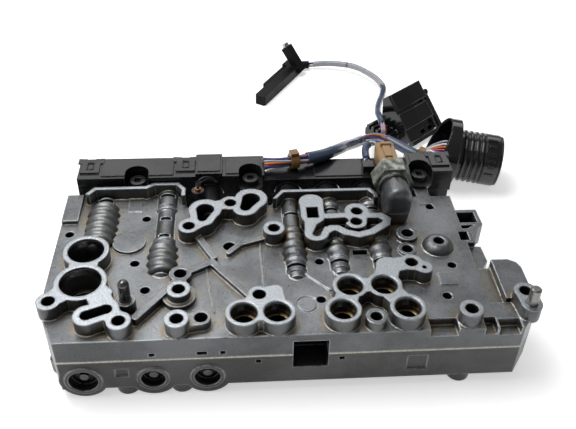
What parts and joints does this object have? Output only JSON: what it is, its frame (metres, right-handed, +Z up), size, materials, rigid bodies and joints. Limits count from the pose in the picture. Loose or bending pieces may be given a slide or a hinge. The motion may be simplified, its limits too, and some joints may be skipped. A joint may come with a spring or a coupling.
{
  "type": "transmission valve body",
  "caption": "Two-part cast valve body of an automatic transmission, with sliding valves, rear solenoids under a black wiring rail, a pressure sensor and a harness with connectors.",
  "frame": {"origin": "on the table under the middle of the castings and solenoids", "axes": "+X along the castings to the right, +Y from the front face to the solenoids, +Z up through the boss faces"},
  "size_m": [0.2781, 0.3435, 0.0643],
  "materials": {
    "casting": "satin die cast",
    "plate": "thin plate with a pale gasket edge",
    "steel": "machined",
    "dark_steel": "oiled",
    "spring_steel": "drawn wire",
    "spool": "ground",
    "solenoid": "black plated can",
    "rail": "satin black",
    "black_plastic": "satin black",
    "copper": "copper coloured",
    "plated": "pale plated steel",
    "tan_plastic": "tan",
    "sleeve": "blue-grey sleeve",
    "amber": "amber",
    "bush": "bright"
  },
  "bodies": {
    "housing": {"upper_casting": "casting", "lower_casting": "casting", "separator_plate": "plate", "body_screws": "dark_steel", "front_plugs": "dark_steel", "front_rings": "dark_steel", "valve_clips": "dark_steel", "locating_stud": "steel", "dowel_pin": "steel", "valve_plugs": "steel", "upper_spring_1": "spring_steel", "upper_spring_2": "spring_steel", "upper_spring_3": "spring_steel", "upper_spring_4": "spring_steel", "upper_spring_5": "spring_steel", "lower_spring_1": "spring_steel", "lower_spring_2": "spring_steel", "lower_spring_3": "spring_steel", "solenoid_1": "solenoid", "solenoid_2": "solenoid", "solenoid_3": "solenoid", "solenoid_4": "solenoid", "solenoid_5": "solenoid", "solenoid_6": "solenoid", "wiring_rail": "rail", "rail_screws": "black_plastic", "probe_holder": "black_plastic", "round_connector": "black_plastic", "connector_hood": "black_plastic", "twin_connector": "black_plastic", "twin_frame": "black_plastic", "speed_sensor": "black_plastic", "probe_capsule": "copper", "sensor_body": "plated", "sensor_plug": "tan_plastic", "sensor_lead": "sleeve", "harness_main": "sleeve", "harness_branch": "sleeve", "connector_lead": "sleeve", "front_tie": "amber", "rear_tie": "amber", "speed_bush": "bush"},
    "upper_spool_1": {"upper_spool_1": "spool"},
    "upper_spool_2": {"upper_spool_2": "spool"},
    "upper_spool_3": {"upper_spool_3": "spool"},
    "upper_spool_4": {"upper_spool_4": "spool"},
    "upper_spool_5": {"upper_spool_5": "spool"},
    "lower_spool_1": {"lower_spool_1": "spool"},
    "lower_spool_2": {"lower_spool_2": "spool"},
    "lower_spool_3": {"lower_spool_3": "spool"}
  },
  "joints": [
    {"name": "upper_valve_1", "type": "slide", "parent": "housing", "child": "upper_spool_1", "axis": [0, -1, 0], "range_m": [0, 0.004], "stiffness_N_per_m": 300, "springref_m": -0.003, "deforming": ["upper_spring_1"]},
    {"name": "upper_valve_2", "type": "slide", "parent": "housing", "child": "upper_spool_2", "axis": [0, -1, 0], "range_m": [0, 0.004], "stiffness_N_per_m": 300, "springref_m": -0.003, "deforming": ["upper_spring_2"]},
    {"name": "upper_valve_3", "type": "slide", "parent": "housing", "child": "upper_spool_3", "axis": [0, -1, 0], "range_m": [0, 0.004], "stiffness_N_per_m": 300, "springref_m": -0.003, "deforming": ["upper_spring_3"]},
    {"name": "upper_valve_4", "type": "slide", "parent": "housing", "child": "upper_spool_4", "axis": [0, -1, 0], "range_m": [0, 0.004], "stiffness_N_per_m": 300, "springref_m": -0.003, "deforming": ["upper_spring_4"]},
    {"name": "upper_valve_5", "type": "slide", "parent": "housing", "child": "upper_spool_5", "axis": [0, -1, 0], "range_m": [0, 0.004], "stiffness_N_per_m": 300, "springref_m": -0.003, "deforming": ["upper_spring_5"]},
    {"name": "lower_valve_1", "type": "slide", "parent": "housing", "child": "lower_spool_1", "axis": [0, -1, 0], "range_m": [0, 0.004], "stiffness_N_per_m": 300, "springref_m": -0.003, "deforming": ["lower_spring_1"]},
    {"name": "lower_valve_2", "type": "slide", "parent": "housing", "child": "lower_spool_2", "axis": [0, -1, 0], "range_m": [0, 0.004], "stiffness_N_per_m": 300, "springref_m": -0.003, "deforming": ["lower_spring_2"]},
    {"name": "lower_valve_3", "type": "slide", "parent": "housing", "child": "lower_spool_3", "axis": [0, -1, 0], "range_m": [0, 0.004], "stiffness_N_per_m": 300, "springref_m": -0.003, "deforming": ["lower_spring_3"]}
  ]
}
